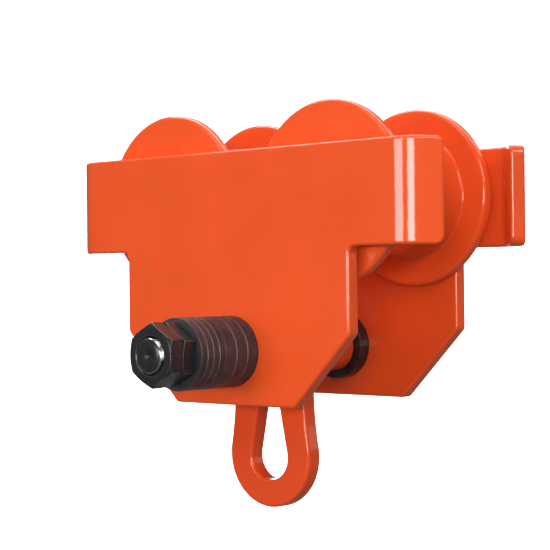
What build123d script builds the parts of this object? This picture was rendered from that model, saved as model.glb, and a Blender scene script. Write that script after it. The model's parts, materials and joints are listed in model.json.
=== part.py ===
"""Push beam trolley for a steel I-beam, in millimetres.

Two side plates with bent ends carry two flanged wheels each. A threaded load shaft joins the
plates below the beam, with washers and nuts that set the gap between them, and a load link
hangs from a sleeve on that shaft.

Origin: the middle of the running surface, at the height where the wheels touch the beam.
+X runs along the beam, the front plate is on the -Y side, +Z is up.
"""

from build123d import *
import os
from math import asin, cos, degrees, radians, sin, sqrt, tan

# ---------------------------------------------------------------- driving dimensions
# Gap between the plates and the plates themselves
plate_gap = 107.4
plate_thickness = 10.0
plate_top_z = 73.1
arm_bottom_z = 7.3
body_half_width = 98.7
bottom_z = -95.4
bottom_half_width = 52.3
chamfer_top_z = -47.6
bend_start_x = 134.0
bend_inner_radius = 8.0
bend_angle = 48.0
bent_end_length = 16.6
bent_corner_radius = 5.5
arm_corner_radius = 4.0
chamfer_corner_radius = 5.0
plate_edge_radius = 2.0

# Wheels
axle_half_spacing = 70.0
wheel_flange_radius = 60.0
wheel_flange_thickness = 8.5
wheel_flange_edge_radius = 2.8
tread_radius = 42.0
hub_overhang = 4.6
tread_taper = 3.0
tread_root_radius = 2.5
tread_end_radius = 2.0
wheel_plate_gap = 3.6

# Bearings: single-row ball bearings, 20 x 47 x 14
bearing_bore = 20.0
bearing_outside = 47.0
bearing_width = 14.0
ball_diameter = 7.94
ball_count = 8
ring_shoulder = 2.05
ring_edge_radius = 0.8
bearing_count = 2
bearing_end_gap = 0.4
cage_thickness = 3.2
cage_width = 10.4
shield_thickness = 0.6
shield_inset = 0.5

# Axle pins
axle_spigot_diameter = 24.0
axle_recess_depth = 7.0
axle_collar_diameter = 27.0
bearing_lip_width = 2.1
axle_overhang = 3.2
axle_end_chamfer = 1.0

# Circlips
axle_clip_thickness = 1.2
axle_clip_groove_diameter = 19.0
axle_clip_width = 2.7
hub_clip_thickness = 1.75
hub_clip_groove_diameter = 49.5
hub_clip_width = 3.9
clip_lug_radius = 2.1
clip_hole_radius = 1.0
clip_opening = 7.0

# Load shaft, washers and nuts
shaft_z = -59.7
shaft_diameter = 24.0
shaft_end_chamfer = 1.6
shaft_protrusion = 1.4
centre_mark_radius = 2.2
centre_pilot_radius = 0.5
centre_mark_depth = 3.0
washer_diameter = 47.0
washer_edge_radius = 0.6
thick_washer = 10.2
thick_washer_count = 3
thin_washer = 5.4
thin_washer_count = 4
inner_washer = 10.0
nut_across_flats = 36.0
nut_thickness = 11.2
nut_chamfer_angle = 30.0
nut_mouth_chamfer = 0.9
outer_nut_turn = 30.0
inner_nut_turn = 26.0

# Sleeve and load link
sleeve_diameter = 35.6
sleeve_edge_chamfer = 0.8
link_thickness = 12.5
link_centre_y = -22.15
link_top_radius = 32.4
link_bottom_radius = 35.4
link_length = 71.6
link_waist_radius = 219.0
link_edge_radius = 2.2
link_bore_chamfer = 1.2
eye_bottom_radius = 15.6
eye_top_radius = 8.4
eye_height = 36.0
eye_drop = 1.1

# Clearances
seat_clearance = 0.02
running_clearance = 0.08
link_clearance = 0.45
sleeve_end_clearance = 0.35
raceway_clearance = 0.06
pocket_clearance = 0.18
stack_gap = 0.12
nut_clearance = 0.02
recess_clearance = 0.05
face_clearance = 0.01
shaft_hole_clearance = 0.5

# ---------------------------------------------------------------- derived places
inner_face = plate_gap / 2
outer_face = inner_face + plate_thickness
axle_z = tread_radius
wheel_outer_y = inner_face - wheel_plate_gap
flange_inner_y = wheel_outer_y - wheel_flange_thickness
bearing_outer_y = wheel_outer_y - bearing_lip_width
bearing_pitch = bearing_width + bearing_end_gap
bearing_centres = [bearing_outer_y - bearing_width / 2 - i * bearing_pitch for i in range(bearing_count)]
bearing_inner_y = bearing_centres[-1] - bearing_width / 2
wheel_inner_y = bearing_inner_y - hub_overhang
pitch_radius = (bearing_bore + bearing_outside) / 4
ball_radius = ball_diameter / 2
inner_ring_radius = pitch_radius - ring_shoulder
outer_ring_radius = pitch_radius + ring_shoulder
thick_stack = thick_washer_count * (thick_washer + stack_gap)
thin_stack = thin_washer_count * (thin_washer + stack_gap)
inner_nut_y = outer_face + thick_stack + thin_stack
outer_nut_y = inner_nut_y + nut_thickness
shaft_end_y = outer_nut_y + nut_thickness + shaft_protrusion
inner_washer_y = inner_face - inner_washer
sleeve_length = 2 * (inner_washer_y - sleeve_end_clearance)
shaft_hole_radius = shaft_diameter / 2 + shaft_hole_clearance
shaft_axis = Axis((0, 0, shaft_z), (0, 1, 0))

SIDES = {"front": -1, "rear": 1}
ENDS = {"left": -1, "right": 1}

os.makedirs("parts", exist_ok=True)


def save(part, name):
    """Label a finished piece and write it as its own STEP file."""
    part.label = name
    export_step(part, f"parts/{name}.step")


def sharp_edges(solid):
    """The edges where two faces meet at an angle, without the seams between tangent faces."""
    found = ShapeList()
    for edge in solid.edges():
        middle = edge.position_at(0.5)
        normals = [face.normal_at(middle) for face in solid.faces() if edge in face.edges()]
        if len(normals) == 2 and normals[0].get_angle(normals[1]) > 20:
            found.append(edge)
    return found


def circles_at(builder, y):
    """The round edges at one place along Y, the smallest first."""
    circles = builder.edges().filter_by(GeomType.CIRCLE)
    return circles.filter_by_position(Axis.Y, y - 0.01, y + 0.01).sort_by(SortBy.RADIUS)


def polar_point(centre, radius, angle):
    """The point at an angle in degrees round a centre."""
    return centre[0] + radius * cos(radians(angle)), centre[1] + radius * sin(radians(angle))


def cross_plane(side, y, x=0.0, z=shaft_z):
    """A plane square to Y at a distance y from the middle, facing out of the trolley."""
    return Plane(origin=(x, side * y, z), x_dir=(1, 0, 0), z_dir=(0, side, 0))


def radial_plane(side, x=0.0, z=shaft_z):
    """A plane for turned profiles: its x is the radius and its y the distance from the middle."""
    return Plane(origin=(x, 0, z), x_dir=(1, 0, 0), z_dir=(0, 0, side))


# ---------------------------------------------------------------- side plates
def build_side_plate(side):
    """One plate: a shouldered body, an arm to each end bent in towards the beam."""
    inward = -side
    outer_y = side * outer_face
    inner_y = side * inner_face
    arm_height = plate_top_z - arm_bottom_z
    with BuildPart() as plate:
        with BuildSketch(Plane.XY.offset(arm_bottom_z)):
            with BuildLine():
                outer_run = Line((0, outer_y), (bend_start_x, outer_y))
                outer_bend = JernArc(
                    outer_run @ 1, outer_run % 1, bend_inner_radius + plate_thickness, inward * bend_angle
                )
                outer_end = Line(outer_bend @ 1, outer_bend @ 1 + (outer_bend % 1) * bent_end_length)
                inner_run = Line((0, inner_y), (bend_start_x, inner_y))
                inner_bend = JernArc(inner_run @ 1, inner_run % 1, bend_inner_radius, inward * bend_angle)
                inner_end = Line(inner_bend @ 1, inner_bend @ 1 + (inner_bend % 1) * bent_end_length)
                Line(outer_end @ 1, inner_end @ 1)
                mirror(about=Plane.YZ)
            make_face()
        extrude(amount=arm_height)
        end_faces = plate.faces().sort_by(Axis.X)
        end_corners = end_faces[0].edges().filter_by(Axis.Z, reverse=True)
        end_corners += end_faces[-1].edges().filter_by(Axis.Z, reverse=True)
        fillet(end_corners, bent_corner_radius)

        with BuildSketch(Plane.XZ.offset(-inner_y)):
            with BuildLine():
                Polyline(
                    (0, arm_bottom_z + arm_height / 2),
                    (body_half_width, arm_bottom_z + arm_height / 2),
                    (body_half_width, chamfer_top_z),
                    (bottom_half_width, bottom_z),
                    (0, bottom_z),
                )
                mirror(about=Plane.YZ)
            make_face()
        extrude(amount=-side * plate_thickness)
        upright = plate.edges().filter_by(Axis.Y)
        fillet(upright.filter_by_position(Axis.Z, bottom_z - 1, chamfer_top_z + 1), chamfer_corner_radius)
        fillet(upright.filter_by_position(Axis.Z, arm_bottom_z - 1, arm_bottom_z + 1), arm_corner_radius)
        fillet(sharp_edges(plate.part), plate_edge_radius)

        with Locations(Plane(origin=(0, outer_y, shaft_z), z_dir=(0, side, 0))):
            Hole(shaft_hole_radius, depth=plate_thickness)
        recess_plane = Plane(origin=(0, inner_y, axle_z), x_dir=(1, 0, 0), z_dir=(0, -side, 0))
        with BuildSketch(recess_plane):
            with GridLocations(2 * axle_half_spacing, 0, 2, 1):
                Circle(axle_spigot_diameter / 2)
        extrude(amount=-axle_recess_depth, mode=Mode.SUBTRACT)
    return plate.part


for side_name, side in SIDES.items():
    save(build_side_plate(side), f"{side_name}_side_plate")


# ---------------------------------------------------------------- wheels on their axles
def build_wheel(side, x):
    """A turned wheel: outside flange, tapered tread, and a hub bored for its bearings."""
    bore = bearing_outside / 2 + seat_clearance
    lip_bore = outer_ring_radius + 0.6
    groove_outer_y = bearing_inner_y
    groove_inner_y = bearing_inner_y - hub_clip_thickness - 0.1
    with BuildPart() as wheel:
        with BuildSketch(radial_plane(side, x, axle_z)):
            with BuildLine():
                Polyline(
                    (lip_bore, bearing_outer_y),
                    (lip_bore, wheel_outer_y),
                    (wheel_flange_radius, wheel_outer_y),
                    (wheel_flange_radius, flange_inner_y),
                    (tread_radius, flange_inner_y),
                    (tread_radius - tread_taper, wheel_inner_y),
                    (bore, wheel_inner_y),
                    (bore, groove_inner_y),
                    (hub_clip_groove_diameter / 2, groove_inner_y),
                    (hub_clip_groove_diameter / 2, groove_outer_y),
                    (bore, groove_outer_y),
                    (bore, bearing_outer_y),
                    close=True,
                )
            make_face()
        revolve(axis=Axis((x, 0, axle_z), (0, 1, 0)))
        rims = wheel.edges().filter_by(GeomType.CIRCLE)
        flange_rims = rims.group_by(SortBy.RADIUS)[-1]
        fillet(flange_rims, wheel_flange_edge_radius)
        fillet(circles_at(wheel, side * flange_inner_y)[0], tread_root_radius)
        fillet(circles_at(wheel, side * wheel_inner_y)[-1], tread_end_radius)
    return wheel.part


def build_axle_pin(side, x):
    """A stub axle: spigot sunk in the plate, collar against the bearing, grooved journal."""
    spigot = axle_spigot_diameter / 2 - recess_clearance
    journal = bearing_bore / 2
    groove = axle_clip_groove_diameter / 2
    groove_outer_y = bearing_inner_y
    groove_inner_y = bearing_inner_y - axle_clip_thickness - 0.1
    end_y = bearing_inner_y - axle_overhang
    with BuildPart() as pin:
        with BuildSketch(radial_plane(side, x, axle_z)):
            with BuildLine():
                Polyline(
                    (0, inner_face + axle_recess_depth - recess_clearance),
                    (spigot, inner_face + axle_recess_depth - recess_clearance),
                    (spigot, inner_face - face_clearance),
                    (axle_collar_diameter / 2, inner_face - face_clearance),
                    (axle_collar_diameter / 2, bearing_outer_y),
                    (journal, bearing_outer_y),
                    (journal, groove_outer_y),
                    (groove, groove_outer_y),
                    (groove, groove_inner_y),
                    (journal, groove_inner_y),
                    (journal, end_y + axle_end_chamfer),
                    (journal - axle_end_chamfer, end_y),
                    (0, end_y),
                    close=True,
                )
            make_face()
        revolve(axis=Axis((x, 0, axle_z), (0, 1, 0)))
    return pin.part


def build_bearing_rings(side, x, inner_radius, outer_radius):
    """The inner or the outer rings of one wheel's bearings, each with its ball groove."""
    with BuildPart() as rings:
        for centre_y in bearing_centres:
            with BuildSketch(radial_plane(side, x, axle_z)) as section:
                with Locations(((inner_radius + outer_radius) / 2, centre_y)):
                    Rectangle(outer_radius - inner_radius, bearing_width - face_clearance)
                fillet(section.vertices(), ring_edge_radius)
                with Locations((pitch_radius, centre_y)):
                    Circle(ball_radius + raceway_clearance, mode=Mode.SUBTRACT)
            revolve(axis=Axis((x, 0, axle_z), (0, 1, 0)))
    return rings.part


def build_balls(side, x):
    """The balls of one wheel's bearings, evenly spaced round the axle."""
    planes = [cross_plane(side, centre_y, x, axle_z) for centre_y in bearing_centres]
    with BuildPart() as balls:
        with Locations(*planes):
            with PolarLocations(pitch_radius, ball_count):
                Sphere(ball_radius)
    return balls.part


def build_cages(side, x):
    """The rings that keep the balls apart, one for each bearing."""
    planes = [cross_plane(side, centre_y, x, axle_z) for centre_y in bearing_centres]
    with BuildPart() as cages:
        with Locations(*planes):
            Cylinder(pitch_radius + cage_thickness / 2, cage_width)
            Cylinder(pitch_radius - cage_thickness / 2, cage_width, mode=Mode.SUBTRACT)
            with PolarLocations(pitch_radius, ball_count):
                pocket_radius = ball_radius + pocket_clearance
                Cylinder(pocket_radius, 2 * cage_thickness, rotation=(0, 90, 0), mode=Mode.SUBTRACT)
    return cages.part


def build_shields(side, x):
    """Thin discs that close both faces of each bearing, held in its outer ring."""
    shield_outer = outer_ring_radius - 0.05
    shield_inner = inner_ring_radius + 0.5
    offset = bearing_width / 2 - shield_inset - shield_thickness / 2
    places = [centre_y + step for centre_y in bearing_centres for step in (-offset, offset)]
    planes = [cross_plane(side, y, x, axle_z) for y in places]
    with BuildPart() as shields:
        with Locations(*planes):
            Cylinder(shield_outer, shield_thickness)
            Cylinder(shield_inner, shield_thickness, mode=Mode.SUBTRACT)
    return shields.part


def build_circlip(side, x, groove_radius, width, thickness):
    """A circlip with a drilled lug each side of its opening. A negative width makes a hub clip."""
    free_radius = groove_radius + width
    half_opening = clip_opening / 2 + clip_lug_radius
    lug_turn = degrees(asin(half_opening / free_radius))
    with BuildPart() as clip:
        with BuildSketch(cross_plane(side, bearing_inner_y - thickness - 0.05, x, axle_z)):
            Circle(max(groove_radius, free_radius))
            Circle(min(groove_radius, free_radius), mode=Mode.SUBTRACT)
            with Locations((0, groove_radius)):
                Rectangle(2 * half_opening, 4 * abs(width), mode=Mode.SUBTRACT)
            with PolarLocations(free_radius, 2, 90 - lug_turn, 2 * lug_turn, endpoint=True):
                Circle(clip_lug_radius)
                Circle(clip_hole_radius, mode=Mode.SUBTRACT)
        extrude(amount=thickness)
    return clip.part


for side_name, side in SIDES.items():
    for end_name, end in ENDS.items():
        x = end * axle_half_spacing
        station = f"{side_name}_{end_name}"
        save(build_wheel(side, x), f"{station}_wheel")
        save(build_axle_pin(side, x), f"{station}_axle_pin")
        journal_fit = bearing_bore / 2 + seat_clearance
        save(build_bearing_rings(side, x, journal_fit, inner_ring_radius), f"{station}_bearing_inner_rings")
        hub_fit = bearing_outside / 2
        save(build_bearing_rings(side, x, outer_ring_radius, hub_fit), f"{station}_bearing_outer_rings")
        save(build_balls(side, x), f"{station}_bearing_balls")
        save(build_cages(side, x), f"{station}_bearing_cages")
        save(build_shields(side, x), f"{station}_bearing_shields")
        axle_groove = axle_clip_groove_diameter / 2 + seat_clearance
        axle_clip = build_circlip(side, x, axle_groove, axle_clip_width, axle_clip_thickness)
        save(axle_clip, f"{station}_axle_circlip")
        hub_groove = hub_clip_groove_diameter / 2 - seat_clearance
        hub_clip = build_circlip(side, x, hub_groove, -hub_clip_width, hub_clip_thickness)
        save(hub_clip, f"{station}_hub_circlip")


# ---------------------------------------------------------------- load shaft and its stack
with BuildPart() as load_shaft:
    with BuildSketch(cross_plane(1, -shaft_end_y)):
        Circle(shaft_diameter / 2)
    extrude(amount=2 * shaft_end_y)
    end_rims = load_shaft.edges().filter_by(GeomType.CIRCLE)
    chamfer(end_rims, shaft_end_chamfer)
    for side in SIDES.values():
        with Locations(cross_plane(side, shaft_end_y)):
            CounterSinkHole(centre_pilot_radius, centre_mark_radius, centre_mark_depth, counter_sink_angle=90)
save(load_shaft.part, "load_shaft")


def build_washers(side, first_y, thickness, count):
    """A pack of equal washers that starts at first_y and grows outwards."""
    with BuildPart() as washers:
        for i in range(count):
            with BuildSketch(cross_plane(side, first_y + i * (thickness + stack_gap))):
                Circle(washer_diameter / 2)
                Circle(shaft_hole_radius, mode=Mode.SUBTRACT)
            extrude(amount=thickness)
        rims = washers.edges().filter_by(GeomType.CIRCLE).group_by(SortBy.RADIUS)[-1]
        fillet(rims, washer_edge_radius)
    return washers.part


def build_nut(side, inner_y, turn):
    """A thin hexagon nut with both ends chamfered, its hexagon turned by a few degrees."""
    across_corners = nut_across_flats / cos(radians(30))
    flat_radius = nut_across_flats / 2
    corner_radius = across_corners / 2
    nut_outer_y = inner_y + nut_thickness - face_clearance
    chamfer_drop = (corner_radius - flat_radius) * tan(radians(nut_chamfer_angle))
    with BuildPart() as nut:
        with BuildSketch(cross_plane(side, inner_y)):
            RegularPolygon(flat_radius, 6, major_radius=False, rotation=turn)
        extrude(amount=nut_thickness - face_clearance)
        with BuildSketch(radial_plane(side)):
            with BuildLine():
                Polyline(
                    (0, inner_y),
                    (flat_radius, inner_y),
                    (corner_radius, inner_y + chamfer_drop),
                    (corner_radius, inner_y + nut_thickness - chamfer_drop),
                    (flat_radius, inner_y + nut_thickness),
                    (0, inner_y + nut_thickness),
                    close=True,
                )
            make_face()
        revolve(axis=shaft_axis, mode=Mode.INTERSECT)
        with Locations(cross_plane(side, nut_outer_y)):
            Hole(shaft_diameter / 2 + nut_clearance, depth=nut_thickness)
        mouths = [circles_at(nut, side * inner_y)[0], circles_at(nut, side * nut_outer_y)[0]]
        chamfer(mouths, nut_mouth_chamfer)
    return nut.part


for side_name, side in SIDES.items():
    thick = build_washers(side, outer_face + face_clearance, thick_washer, thick_washer_count)
    save(thick, f"{side_name}_thick_washers")
    thin = build_washers(side, outer_face + thick_stack, thin_washer, thin_washer_count)
    save(thin, f"{side_name}_thin_washers")
    save(build_washers(side, inner_washer_y, inner_washer - face_clearance, 1), f"{side_name}_inner_washer")
    save(build_nut(side, inner_nut_y, inner_nut_turn), f"{side_name}_inner_nut")
    save(build_nut(side, outer_nut_y, outer_nut_turn), f"{side_name}_outer_nut")


# ---------------------------------------------------------------- sleeve and load link
with BuildPart() as spacer_sleeve:
    with BuildSketch(cross_plane(1, -sleeve_length / 2)):
        Circle(sleeve_diameter / 2)
        Circle(shaft_diameter / 2 + running_clearance, mode=Mode.SUBTRACT)
    extrude(amount=sleeve_length)
    outer_rims = spacer_sleeve.edges().filter_by(GeomType.CIRCLE).group_by(SortBy.RADIUS)[-1]
    chamfer(outer_rims, sleeve_edge_chamfer)
save(spacer_sleeve.part, "spacer_sleeve")


def waist_centre(top_radius, bottom_radius, length, waist_radius):
    """Centre of the hollow arc that touches both end circles of the link, from the top centre."""
    to_top = top_radius + waist_radius
    to_bottom = bottom_radius + waist_radius
    drop = (to_top**2 - to_bottom**2 + length**2) / (2 * length)
    return sqrt(to_top**2 - drop**2), -drop


link_bottom_centre = (0, -link_length)
link_bore_radius = sleeve_diameter / 2 + link_clearance
waist_x, waist_y = waist_centre(link_top_radius, link_bottom_radius, link_length, link_waist_radius)
top_share = link_top_radius / (link_top_radius + link_waist_radius)
bottom_share = link_bottom_radius / (link_bottom_radius + link_waist_radius)
top_touch = (waist_x * top_share, waist_y * top_share)
bottom_touch = (waist_x * bottom_share, -link_length + (waist_y + link_length) * bottom_share)

with BuildPart() as load_link:
    link_plane = Plane(origin=(0, link_centre_y, shaft_z), x_dir=(1, 0, 0), z_dir=(0, -1, 0))
    with BuildSketch(link_plane):
        with BuildLine():
            ThreePointArc((0, link_top_radius), polar_point((0, 0), link_top_radius, 45), top_touch)
            waist_middle = (waist_x - link_waist_radius, waist_y)
            ThreePointArc(top_touch, waist_middle, bottom_touch)
            low_side = polar_point(link_bottom_centre, link_bottom_radius, -45)
            ThreePointArc(bottom_touch, low_side, (0, -link_length - link_bottom_radius))
            mirror(about=Plane.YZ)
        make_face()
    extrude(amount=link_thickness / 2, both=True)
    with BuildSketch(link_plane) as eye:
        with Locations((0, -link_length - eye_drop)):
            Circle(eye_bottom_radius)
        with Locations((0, -link_length - eye_drop + eye_height)):
            Circle(eye_top_radius)
        make_hull()
    extrude(amount=link_thickness / 2, both=True, mode=Mode.SUBTRACT)
    fillet(sharp_edges(load_link.part), link_edge_radius)
    outer_side = Plane(origin=(0, link_centre_y - link_thickness / 2, shaft_z), z_dir=(0, -1, 0))
    with Locations(outer_side):
        Hole(link_bore_radius, depth=link_thickness)
    round_edges = load_link.edges().filter_by(GeomType.CIRCLE)
    bore_rims = [edge for edge in round_edges if abs(edge.radius - link_bore_radius) < 0.001]
    chamfer(bore_rims, link_bore_chamfer)
save(load_link.part, "load_link")
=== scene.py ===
"""Looks of the beam trolley: materials, fine pieces, floor, light and camera, in metres."""

import bpy
import json
import math
from mathutils import Matrix, Vector


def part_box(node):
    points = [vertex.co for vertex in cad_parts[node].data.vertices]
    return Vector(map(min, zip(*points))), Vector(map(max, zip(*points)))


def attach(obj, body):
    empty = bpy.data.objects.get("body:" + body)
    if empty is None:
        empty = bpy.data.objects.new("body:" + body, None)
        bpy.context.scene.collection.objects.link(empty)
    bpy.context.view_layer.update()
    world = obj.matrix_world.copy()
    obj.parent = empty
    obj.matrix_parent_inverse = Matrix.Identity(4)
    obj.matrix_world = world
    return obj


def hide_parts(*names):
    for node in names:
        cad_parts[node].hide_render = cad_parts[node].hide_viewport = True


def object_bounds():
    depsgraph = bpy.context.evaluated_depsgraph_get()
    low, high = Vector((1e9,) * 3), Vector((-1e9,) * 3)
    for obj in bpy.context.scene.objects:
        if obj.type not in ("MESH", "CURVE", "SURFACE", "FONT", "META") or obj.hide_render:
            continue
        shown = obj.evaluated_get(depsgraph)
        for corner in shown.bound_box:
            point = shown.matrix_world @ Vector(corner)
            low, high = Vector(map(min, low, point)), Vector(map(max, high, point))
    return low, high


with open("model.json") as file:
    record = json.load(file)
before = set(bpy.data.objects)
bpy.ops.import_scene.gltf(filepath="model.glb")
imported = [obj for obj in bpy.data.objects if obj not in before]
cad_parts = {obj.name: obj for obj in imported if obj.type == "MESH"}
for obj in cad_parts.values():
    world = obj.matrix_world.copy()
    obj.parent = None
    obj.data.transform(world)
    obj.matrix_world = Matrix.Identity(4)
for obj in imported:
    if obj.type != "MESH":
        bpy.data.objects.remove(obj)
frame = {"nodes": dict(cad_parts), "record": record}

CAD_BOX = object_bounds()
MM = 0.001

# Sides and ends as the CAD names them, with their signs along Y and X
SIDES = {"front": -1, "rear": 1}
ENDS = {"left": -1, "right": 1}
STATIONS = [f"{side}_{end}" for side in SIDES for end in ENDS]

# Camera: level, at the photograph's viewing angle
CAMERA_PLACE = Vector((0.6992, -0.8207, -0.0165))
CAMERA_AZIMUTH = 41.13
CAMERA_ROLL = -0.63
CAMERA_LENS = 102.2
CAMERA_SHIFT_UP = 0.0187
SENSOR_WIDTH = 36.0

# Thread, shields and other fine pieces
THREAD_PITCH = 3.0 * MM
THREAD_DEPTH = 1.75 * MM
THREAD_CHAMFER = 1.6 * MM
FLAT_SHARE = 0.14
ROWS_PER_TURN = 10
SHAFT_SIDES = 64
THREAD_START = 30.0 * MM
SHAFT_INSET = 0.02 * MM
END_BREAK = 0.3 * MM
CENTRE_RADIUS = 2.2 * MM
CENTRE_PILOT_RADIUS = 0.45 * MM
CENTRE_TIP_RADIUS = 0.02 * MM
SHIELD_WIDTH = 3.5 * MM
SHIELD_GAUGE = 0.28 * MM
SHIELD_SIDES = 72
BEARING_WIDTH = 14.0 * MM

# Stage
FLOOR_DROP = 0.16
BACKDROP_NEAR = -3.0
BACKDROP_HALF_WIDTH = 3.5
BACKDROP_STEPS = 24
BACKDROP_DISTANCE = 2.6
BACKDROP_HEIGHT = 3.2
BACKDROP_BEND = 0.9
SURROUND_GLOW = 0.15
FLOOR_BOUNCE = (0.08, 0.08, 0.08, 1.0)
SURROUND_SEEN = 0.93

# Soft boxes: name, azimuth, elevation, distance, width, power, height
LAMPS = [
    ("box_left", -8, 3, 1.9, 1.0, 11.5, 0.36),
    ("box_right", 37, 3, 1.9, 0.78, 13, 0.36),
    ("key", 8, 48, 2.2, 1.0, 8, 1.0),
    ("side", 66, 26, 2.2, 0.8, 14, 0.8),
    ("rim_right", 145, 10, 2.2, 0.7, 1.2, 0.7),
    ("rim_high", 156, 36, 2.2, 1.0, 4.5, 1.0),
    ("overhead", 40, 84, 2.2, 1.6, 6, 1.6),
    ("rim_left", -131, 4, 2.2, 0.7, 9, 0.7),
]
WASH_ELEVATION = 62
WASH_TILT = 50


# ---------------------------------------------------------------- material helpers
class Graph:
    """One material's node tree, with a short way to add nodes and join them."""

    def __init__(self, name):
        self.material = bpy.data.materials.new(name)
        self.material.use_nodes = True
        self.tree = self.material.node_tree
        self.shader = self.tree.nodes["Principled BSDF"]
        self.place = self.add("TexCoord").outputs["Object"]

    def join(self, socket, value):
        """Link a node's output to a socket, or set the socket's own value."""
        if isinstance(value, bpy.types.NodeSocket):
            self.tree.links.new(value, socket)
        else:
            socket.default_value = value

    def add(self, kind, inputs=None, **settings):
        node = self.tree.nodes.new("ShaderNode" + kind)
        for name, value in settings.items():
            setattr(node, name, value)
        for name, value in (inputs or {}).items():
            self.join(node.inputs[name], value)
        return node

    def math(self, operation, first, second=0.0, clamp=False):
        node = self.add("Math", operation=operation, use_clamp=clamp)
        self.join(node.inputs[0], first)
        self.join(node.inputs[1], second)
        return node.outputs["Value"]

    def noise(self, scale, detail=3.0, roughness=0.5, place=None):
        inputs = {"Vector": place or self.place, "Scale": scale, "Detail": detail, "Roughness": roughness}
        return self.add("TexNoise", inputs).outputs["Fac"]

    def spread(self, value, low, high, new_low=0.0, new_high=1.0):
        """Map a stretch of values to another, clamped."""
        inputs = {"Value": value, "From Min": low, "From Max": high, "To Min": new_low, "To Max": new_high}
        return self.add("MapRange", inputs).outputs["Result"]

    def mix(self, share, first, second, blend_type="MIX"):
        node = self.add("Mix", data_type="RGBA", blend_type=blend_type)
        self.join(node.inputs["Factor"], share)
        self.join(node.inputs["A"], first)
        self.join(node.inputs["B"], second)
        return node.outputs["Result"]

    def edges(self, radius):
        """1 on edges and 0 on flats: how far a bevelled normal leans from the real one."""
        bevel = self.add("Bevel", {"Radius": radius}, samples=6)
        geometry = self.add("NewGeometry")
        dot = self.add("VectorMath", operation="DOT_PRODUCT")
        self.join(dot.inputs[0], bevel.outputs["Normal"])
        self.join(dot.inputs[1], geometry.outputs["Normal"])
        return self.spread(dot.outputs["Value"], 0.99, 0.8)

    def softened(self, radius):
        """The normal with every corner rounded off by radius."""
        return self.add("Bevel", {"Radius": radius}, samples=6).outputs["Normal"]

    def bump(self, height, distance, strength=1.0, normal=None):
        inputs = {"Height": height, "Distance": distance, "Strength": strength}
        if normal:
            inputs["Normal"] = normal
        return self.add("Bump", inputs).outputs["Normal"]


def rgb(red, green, blue):
    """A linear colour from 8-bit sRGB numbers."""
    linear = []
    for share in (red / 255, green / 255, blue / 255):
        linear.append(share / 12.92 if share <= 0.04045 else ((share + 0.055) / 1.055) ** 2.4)
    return (*linear, 1.0)


# ---------------------------------------------------------------- materials
def paint(name, colour, edge_highlight_colour, edge_highlight_share):
    """Thick glossy enamel: soft orange peel, faint tone changes, and a painted highlight along the edges."""
    g = Graph(name)
    patches = g.noise(14.0, 4.0, 0.55)
    tone = g.mix(g.spread(patches, 0.35, 0.7), colour, [c * 0.9 for c in colour[:3]] + [1.0])
    # Pale edges: a painted highlight along every rounded edge, broken up by noise.
    edge_highlight = g.math("MULTIPLY", g.edges(2.2 * MM), edge_highlight_share)
    breaks = g.spread(g.noise(120.0, 3.0), 0.3, 0.6, 0.35, 1.0)
    dust = g.spread(g.noise(900.0, 2.0), 0.66, 0.74, 0.0, 0.12)
    edge_highlit_tone = g.mix(g.math("MULTIPLY", edge_highlight, breaks), tone, edge_highlight_colour)
    g.join(g.shader.inputs["Base Color"], g.mix(dust, edge_highlit_tone, [c * 0.6 for c in colour[:3]] + [1.0]))
    smears = g.spread(g.noise(45.0, 5.0, 0.6), 0.3, 0.75, 0.3, 0.44)
    g.join(g.shader.inputs["Roughness"], smears)
    peel = g.bump(g.noise(420.0, 2.0), 0.09 * MM, 0.55)
    waves = g.bump(g.noise(60.0, 1.0), 0.35 * MM, 0.3, peel)
    g.join(g.shader.inputs["Normal"], waves)
    g.shader.inputs["Specular IOR Level"].default_value = 0.08
    g.shader.inputs["Coat Weight"].default_value = 0.85
    g.shader.inputs["Coat Roughness"].default_value = 0.06
    g.join(g.shader.inputs["Coat Normal"], waves)
    return g.material


def turned_steel(name, colour, dark, roughness, ring_scale, metallic=1.0, wear_and_highlight=0.4):
    """Steel turned about the Y axis: fine rings, cloudy oxide, and pale corners that are partly wear and
    partly a painted highlight.
    """
    g = Graph(name)
    stretch = g.add("Mapping", {"Vector": g.place, "Scale": (1.0, ring_scale, 1.0)}).outputs["Vector"]
    rings = g.noise(30.0, 6.0, 0.7, stretch)
    clouds = g.noise(85.0, 5.0, 0.6)
    share = g.spread(g.math("ADD", g.math("MULTIPLY", rings, 0.6), g.math("MULTIPLY", clouds, 0.5)), 0.4, 0.7)
    body = g.mix(share, colour, dark)
    # Pale corners: partly rubbed-bare wear, partly a painted highlight.
    edge_highlight = g.math("MULTIPLY", g.edges(0.7 * MM), wear_and_highlight)
    worn_and_highlit = g.mix(edge_highlight, body, (0.6, 0.57, 0.55, 1.0))
    g.join(g.shader.inputs["Base Color"], worn_and_highlit)
    g.shader.inputs["Metallic"].default_value = metallic
    g.join(g.shader.inputs["Roughness"], g.spread(clouds, 0.3, 0.7, roughness - 0.07, roughness + 0.1))
    grooves = g.bump(rings, 0.05 * MM, 0.5, g.softened(0.5 * MM))
    pits = g.bump(g.noise(1500.0, 2.0), 0.03 * MM, 0.5, grooves)
    g.join(g.shader.inputs["Normal"], pits)
    return g.material


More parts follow.
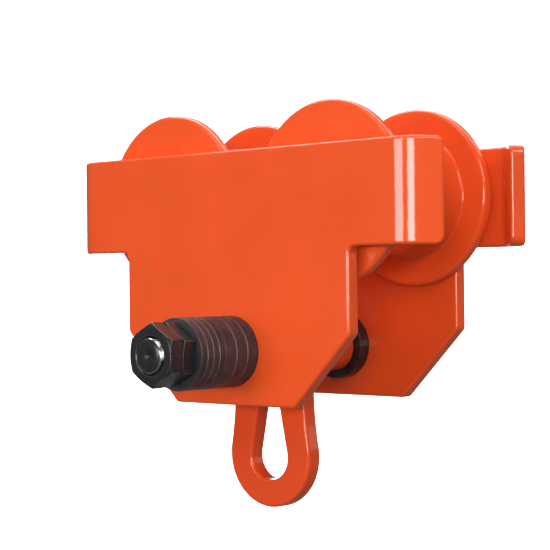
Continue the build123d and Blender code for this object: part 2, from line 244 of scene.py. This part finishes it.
def oxide(name, colour, dark, roughness):
    """Oiled black oxide: nearly black, glossy, with faint machining lines and pale corners that are partly
    wear and partly a painted highlight.
    """
    g = Graph(name)
    clouds = g.noise(140.0, 5.0, 0.6)
    body = g.mix(g.spread(clouds, 0.35, 0.68), colour, dark)
    # Pale corners: partly rubbed-bare wear, partly a painted highlight.
    edge_highlight = g.math("MULTIPLY", g.edges(0.8 * MM), 0.7)
    g.join(g.shader.inputs["Base Color"], g.mix(edge_highlight, body, (0.3, 0.3, 0.31, 1.0)))
    g.join(g.shader.inputs["Roughness"], g.spread(clouds, 0.3, 0.7, roughness - 0.05, roughness + 0.12))
    stretch = g.add("Mapping", {"Vector": g.place, "Scale": (1.0, 20.0, 1.0)}).outputs["Vector"]
    lines = g.bump(g.noise(60.0, 4.0, 0.6, stretch), 0.03 * MM, 0.4, g.softened(0.7 * MM))
    g.join(g.shader.inputs["Normal"], g.bump(g.noise(1300.0, 2.0), 0.03 * MM, 0.5, lines))
    g.shader.inputs["Metallic"].default_value = 0.4
    g.shader.inputs["Coat Weight"].default_value = 0.3
    g.shader.inputs["Coat Roughness"].default_value = 0.15
    return g.material


WASHER_TONES = ((0.072, 0.066, 0.069, 1), (0.027, 0.025, 0.027, 1))
OXIDE_TONES = ((0.036, 0.035, 0.036, 1), (0.014, 0.014, 0.015, 1))

MATERIALS = {
    # The second colour in each paint is a painted highlight laid along the edges.
    "orange_paint": paint("orange_paint", rgb(245, 89, 37), rgb(255, 140, 100), 0.3),
    # link_paint is orange_paint made a little darker: painted shade for the recessed link.
    "link_paint": paint("link_paint", rgb(240, 82, 34), rgb(250, 130, 92), 0.3),
    "black_oxide": oxide("black_oxide", *OXIDE_TONES, 0.26),
    "washer_steel": turned_steel("washer_steel", *WASHER_TONES, 0.4, 40.0, metallic=0.3, wear_and_highlight=0.85),
    "bare_chamfer": turned_steel("bare_chamfer", (0.72, 0.71, 0.7, 1), (0.55, 0.54, 0.53, 1), 0.22, 40.0),
    "bright_steel": turned_steel("bright_steel", (0.55, 0.55, 0.57, 1), (0.38, 0.38, 0.4, 1), 0.2, 25.0),
    "cage_steel": turned_steel("cage_steel", (0.4, 0.37, 0.32, 1), (0.25, 0.23, 0.2, 1), 0.4, 10.0),
    "shield_steel": turned_steel("shield_steel", (0.5, 0.5, 0.5, 1), (0.33, 0.33, 0.34, 1), 0.3, 4.0),
    "spring_steel": oxide("spring_steel", (0.06, 0.058, 0.06, 1), (0.03, 0.03, 0.032, 1), 0.38),
}


def dress_nodes():
    """Give every CAD node the finish of its slot."""
    for row in frame["record"]["subparts"]:
        node = frame["nodes"][row["node"]]
        for slot in node.material_slots:
            slot.material = MATERIALS[row["material_slot"]]


# ---------------------------------------------------------------- fine pieces
def make_piece(name, points, faces, slots, face_slots=None):
    """A smooth-shaded mesh object with its material slots."""
    mesh = bpy.data.meshes.new(name)
    mesh.from_pydata(points, [], faces)
    for slot in slots:
        mesh.materials.append(MATERIALS[slot])
    if face_slots:
        mesh.polygons.foreach_set("material_index", face_slots)
    mesh.shade_smooth()
    piece = bpy.data.objects.new(name, mesh)
    bpy.context.scene.collection.objects.link(piece)
    return piece


def turn(x, z, profile, around, close=False):
    """Points and faces of a profile of (radius, y) pairs, or functions of the angle, turned about Y."""
    points, faces = [], []
    for radius, y in profile:
        for j in range(around):
            angle = 2 * math.pi * j / around
            reach = radius(angle) if callable(radius) else radius
            points.append((x + reach * math.sin(angle), y, z + reach * math.cos(angle)))
    rows = len(profile)
    for i in range(rows if close else rows - 1):
        low, high = i * around, (i + 1) % rows * around
        for j in range(around):
            k = (j + 1) % around
            faces.append((low + j, low + k, high + k, high + j))
    return points, faces


def thread_radius(crest, y, pitch, depth):
    """Radius of a right-hand 60-degree thread at height y, as a function of the angle."""
    def radius(angle):
        phase = (y / pitch - angle / (2 * math.pi)) % 1.0
        flank = abs(2 * phase - 1)
        return crest - depth * min(1.0, max(0.0, (flank - FLAT_SHARE) / (1 - 2 * FLAT_SHARE)))
    return radius


def build_shaft():
    """The load shaft: plain in the middle, threaded to both ends, with bare chamfers and centres."""
    low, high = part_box("load_shaft")
    crest = (high[0] - low[0]) / 2 - SHAFT_INSET
    z = (high[2] + low[2]) / 2
    end = high[1]
    plain_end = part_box("rear_side_plate")[0][1] + THREAD_START
    steps = round((end - THREAD_CHAMFER - plain_end) / THREAD_PITCH * ROWS_PER_TURN)
    climb = (end - THREAD_CHAMFER - plain_end) / steps
    half = [(crest, 0.0), (crest, plain_end - 0.2 * MM)]
    for i in range(steps + 1):
        y = plain_end + i * climb
        runout = min(1.0, i / ROWS_PER_TURN)
        half.append((thread_radius(crest, y, THREAD_PITCH, THREAD_DEPTH * runout), y))
    face = crest - THREAD_CHAMFER
    half += [(crest - END_BREAK / 2, end - THREAD_CHAMFER), (face + END_BREAK, end - 0.25 * MM), (face, end)]
    half += [(CENTRE_RADIUS + 0.25 * MM, end), (CENTRE_RADIUS, end - 0.1 * MM)]
    half.append((CENTRE_PILOT_RADIUS, end - CENTRE_RADIUS + 0.3 * MM))
    half.append((CENTRE_TIP_RADIUS, end - CENTRE_RADIUS - 0.4 * MM))
    other = []
    for radius, y in reversed(half[1:]):
        mirrored = radius
        if callable(radius):
            mirrored = thread_radius(crest, -y, THREAD_PITCH, THREAD_DEPTH)
        other.append((mirrored, -y))
    points, faces = turn(0.0, z, other + half, SHAFT_SIDES)
    rows = len(other) + len(half)
    chamfer_bands = {4, 5, rows - 7, rows - 6}
    faces.append(tuple(range(SHAFT_SIDES - 1, -1, -1)))
    faces.append(tuple(range((rows - 1) * SHAFT_SIDES, rows * SHAFT_SIDES)))
    slots = [1 if i // SHAFT_SIDES in chamfer_bands else 0 for i in range(len(faces))]
    piece = make_piece("threaded_load_shaft", points, faces, ["black_oxide", "bare_chamfer"], slots)
    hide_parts("load_shaft")
    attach(piece, "frame")


def build_shields(station):
    """Pressed shields with a raised ring, one at each face of both bearings."""
    node = f"{station}_bearing_shields"
    low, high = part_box(node)
    x, z = (low[0] + high[0]) / 2, (low[2] + high[2]) / 2
    outer = (high[0] - low[0]) / 2 - 0.02 * MM
    inner = outer - SHIELD_WIDTH
    rings_low, rings_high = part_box(f"{station}_bearing_outer_rings")
    pitch = (rings_high[1] - rings_low[1]) - BEARING_WIDTH
    points, faces = [], []
    near = [low[1], low[1] + pitch]
    far = [high[1], high[1] - pitch]
    for y, inward in [(y, 1) for y in near] + [(y, -1) for y in far]:
        steps = [(outer, 0.24), (outer - 0.5 * MM, 0.0), (outer - 0.9 * MM, 0.0), (outer - 1.3 * MM, 0.28)]
        steps += [(inner + 0.9 * MM, 0.28), (inner + 0.5 * MM, 0.02), (inner, 0.02)]
        front = [(radius, y + inward * sink * MM) for radius, sink in steps]
        back = [(radius, at + inward * SHIELD_GAUGE) for radius, at in reversed(front)]
        loop = front + back if inward > 0 else list(reversed(front + back))
        new_points, new_faces = turn(x, z, loop, SHIELD_SIDES, close=True)
        start = len(points)
        points += new_points
        faces += [tuple(start + i for i in face) for face in new_faces]
    piece = make_piece(f"{station}_pressed_shields", points, faces, ["shield_steel"])
    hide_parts(node)
    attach(piece, f"{station}_wheel")


# ---------------------------------------------------------------- stage, light and camera
def build_backdrop(low_z):
    """A pale sheet that lies as a floor and curves up behind the object."""
    forward = Vector((-math.sin(math.radians(CAMERA_AZIMUTH)), math.cos(math.radians(CAMERA_AZIMUTH)), 0))
    across = Vector((forward.y, -forward.x, 0))
    profile = [(BACKDROP_NEAR, 0.0), (BACKDROP_DISTANCE - BACKDROP_BEND, 0.0)]
    for i in range(1, BACKDROP_STEPS + 1):
        bend = math.pi / 2 * i / BACKDROP_STEPS
        reach = BACKDROP_DISTANCE - BACKDROP_BEND + BACKDROP_BEND * math.sin(bend)
        profile.append((reach, BACKDROP_BEND * (1 - math.cos(bend))))
    profile.append((BACKDROP_DISTANCE, BACKDROP_HEIGHT))
    points = []
    for reach, rise in profile:
        for side in (-BACKDROP_HALF_WIDTH, BACKDROP_HALF_WIDTH):
            points.append(forward * reach + across * side + Vector((0, 0, low_z + rise)))
    faces = [(2 * i, 2 * i + 1, 2 * i + 3, 2 * i + 2) for i in range(len(profile) - 1)]
    mesh = bpy.data.meshes.new("backdrop")
    mesh.from_pydata(points, [], faces)
    mesh.shade_smooth()
    sheet = bpy.data.objects.new("backdrop", mesh)
    bpy.context.scene.collection.objects.link(sheet)
    g = Graph("backdrop")
    grain = g.noise(6.0, 3.0)
    pale = g.mix(g.spread(grain, 0.3, 0.7), (0.88, 0.88, 0.88, 1), (0.85, 0.85, 0.85, 1))
    seen = g.add("LightPath").outputs["Is Camera Ray"]
    g.join(g.shader.inputs["Base Color"], g.mix(seen, FLOOR_BOUNCE, pale))
    g.shader.inputs["Roughness"].default_value = 0.9
    mesh.materials.append(g.material)


def add_area(name, azimuth, elevation, distance, width, power, height):
    """A soft box that faces the object. Azimuth 0 stands on the -Y side, 90 on the +X side."""
    heading, rise = math.radians(azimuth), math.radians(elevation)
    level = Vector((math.sin(heading), -math.cos(heading), 0)) * math.cos(rise)
    place = distance * (level + Vector((0, 0, math.sin(rise))))
    data = bpy.data.lights.new(name, "AREA")
    data.shape = "RECTANGLE"
    data.size = width
    data.size_y = height
    data.energy = power
    lamp = bpy.data.objects.new(name, data)
    lamp.matrix_world = Matrix.Translation(place) @ (-place).to_track_quat("-Z", "Y").to_matrix().to_4x4()
    bpy.context.scene.collection.objects.link(lamp)
    return lamp


def build_light():
    """A faint surround, the soft boxes, and a wash that whitens the backdrop."""
    world = bpy.data.worlds.new("surround")
    world.use_nodes = True
    tree = world.node_tree
    shown = tree.nodes.new("ShaderNodeLightPath").outputs["Is Camera Ray"]
    level = tree.nodes.new("ShaderNodeMapRange")
    level.inputs["To Min"].default_value = SURROUND_GLOW
    level.inputs["To Max"].default_value = SURROUND_SEEN
    background = tree.nodes["Background"]
    background.inputs["Color"].default_value = (1, 1, 1, 1)
    tree.links.new(shown, level.inputs["Value"])
    tree.links.new(level.outputs["Result"], background.inputs["Strength"])
    bpy.context.scene.world = world
    for lamp in LAMPS:
        add_area(*lamp)
    wash = add_area("backdrop_wash", 180 + CAMERA_AZIMUTH, WASH_ELEVATION, 2.0, 2.2, 150, 2.2)
    wash.rotation_euler = (math.radians(WASH_TILT), 0, math.radians(CAMERA_AZIMUTH))


def build_camera():
    """The photograph's view: level, with a slight roll and the lens shifted up."""
    data = bpy.data.cameras.new("camera")
    data.sensor_width = SENSOR_WIDTH
    data.lens = CAMERA_LENS
    data.shift_y = CAMERA_SHIFT_UP
    data.dof.use_dof = False
    camera = bpy.data.objects.new("camera", data)
    bpy.context.scene.collection.objects.link(camera)
    facing = Matrix.Rotation(math.radians(CAMERA_AZIMUTH), 4, "Z") @ Matrix.Rotation(math.pi / 2, 4, "X")
    roll = Matrix.Rotation(math.radians(CAMERA_ROLL), 4, "Z")
    camera.matrix_world = Matrix.Translation(CAMERA_PLACE) @ facing @ roll
    bpy.context.scene.camera = camera


build_camera()
build_light()
build_backdrop(CAD_BOX[0][2] - FLOOR_DROP)
dress_nodes()
build_shaft()
for station in STATIONS:
    build_shields(station)
bpy.context.scene.view_settings.view_transform = "Standard"
bpy.context.scene.view_settings.look = "None"
